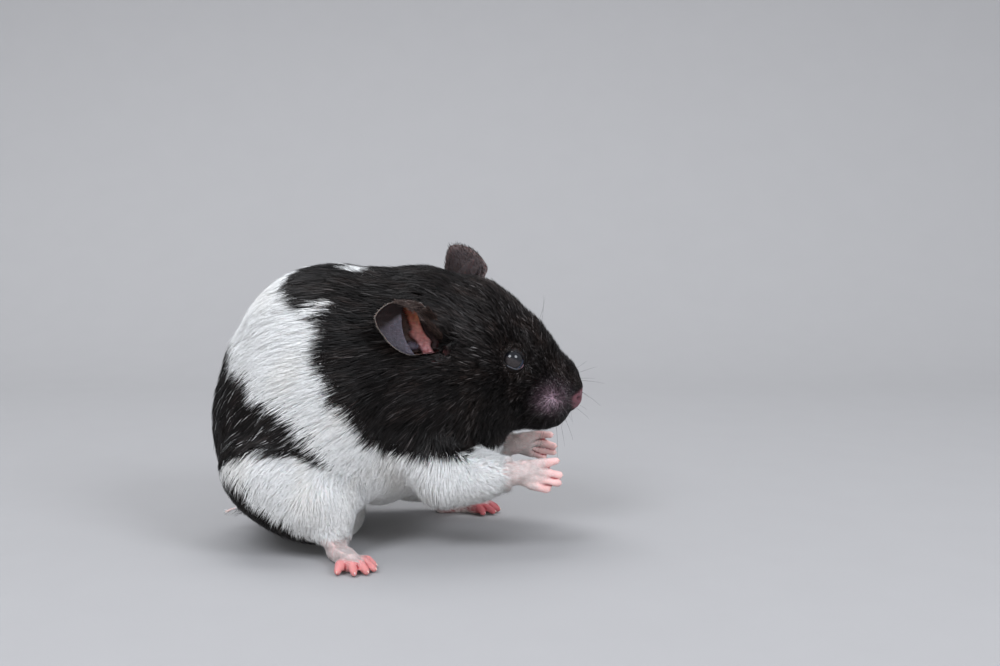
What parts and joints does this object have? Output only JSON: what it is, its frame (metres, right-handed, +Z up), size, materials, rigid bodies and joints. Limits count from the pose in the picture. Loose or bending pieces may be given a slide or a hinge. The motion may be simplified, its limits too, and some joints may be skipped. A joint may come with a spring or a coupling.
{
  "type": "syrian hamster",
  "caption": "Life-size still model of a long-eared, short-tailed pet rodent with a banded coat, squatting on its rump and hind feet with its forepaws held out.",
  "frame": {"origin": "middle of the bounding box's base, on the floor that the hind feet and rump rest on", "axes": "+X the way the animal faces, from rump to nose; +Y its left side; +Z up"},
  "size_m": [0.1006, 0.072, 0.0786],
  "materials": {
    "dark_coat": "black fur",
    "white_coat": "white fur",
    "bare_skin": "thin pink skin",
    "ear_skin": "thin grey skin",
    "eye": "wet and glossy"
  },
  "bodies": {
    "root": {"head": "dark_coat", "neck": "dark_coat", "trunk": "white_coat", "tail": "bare_skin", "hind_leg_right": "white_coat", "hind_leg_left": "white_coat", "fore_leg_right": "white_coat", "fore_leg_left": "white_coat", "hind_paw_right": "bare_skin", "hind_paw_left": "bare_skin", "fore_paw_right": "bare_skin", "fore_paw_left": "bare_skin", "ear_right": "ear_skin", "ear_left": "ear_skin", "eye_right": "eye", "eye_left": "eye"}
  },
  "joints": []
}
